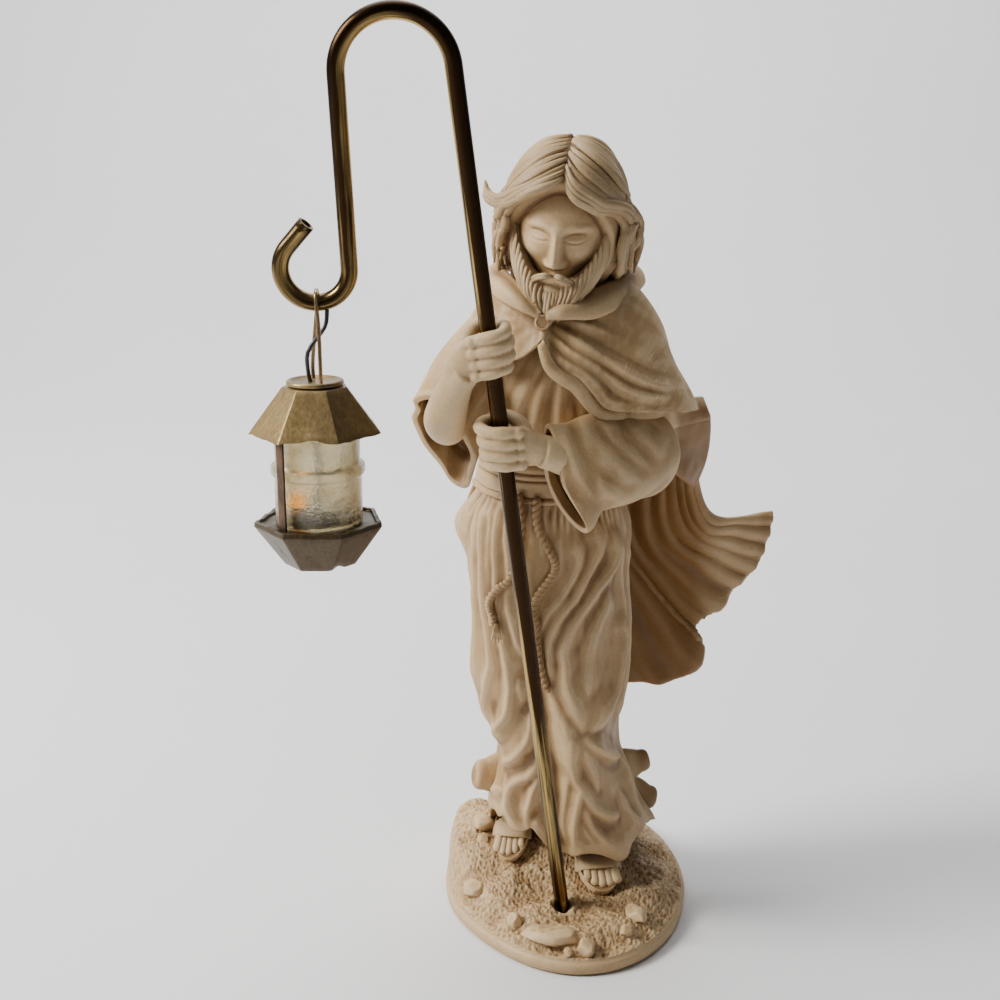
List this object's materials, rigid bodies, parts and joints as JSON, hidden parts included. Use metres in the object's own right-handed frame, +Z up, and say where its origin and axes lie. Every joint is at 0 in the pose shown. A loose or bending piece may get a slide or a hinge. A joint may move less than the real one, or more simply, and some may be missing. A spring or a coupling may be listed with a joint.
{
  "type": "lighted shepherd figurine",
  "caption": "Cast resin shepherd in a windblown cape on a rocky base, leaning on a bent brass crook that carries a small faceted lantern.",
  "frame": {"origin": "middle of the base's flat underside", "axes": "+Z up, the shepherd looks toward -Y, +X to the right of someone who stands in front of it"},
  "size_m": [0.2213, 0.1848, 0.3903],
  "materials": {
    "resin": "cream cast resin with tan stain in the hollows, satin",
    "brass": "polished brass tube gone dark in streaks",
    "bronze_paint": "rubbed gold-bronze paint",
    "frosted_glass": "wavy frosted glass",
    "dark_strip": "dark brown strip",
    "flame": "warm flame-shaped bulb",
    "black_lead": "black insulated wire"
  },
  "bodies": {
    "root": {"figure": "resin", "crook": "brass", "lantern_roof": "bronze_paint", "lantern_dish": "bronze_paint", "lantern_chimney": "frosted_glass", "lantern_post_front": "dark_strip", "lantern_post_rear": "dark_strip", "lantern_bail": "brass", "lantern_bulb": "flame", "lantern_wire": "black_lead"}
  },
  "joints": []
}
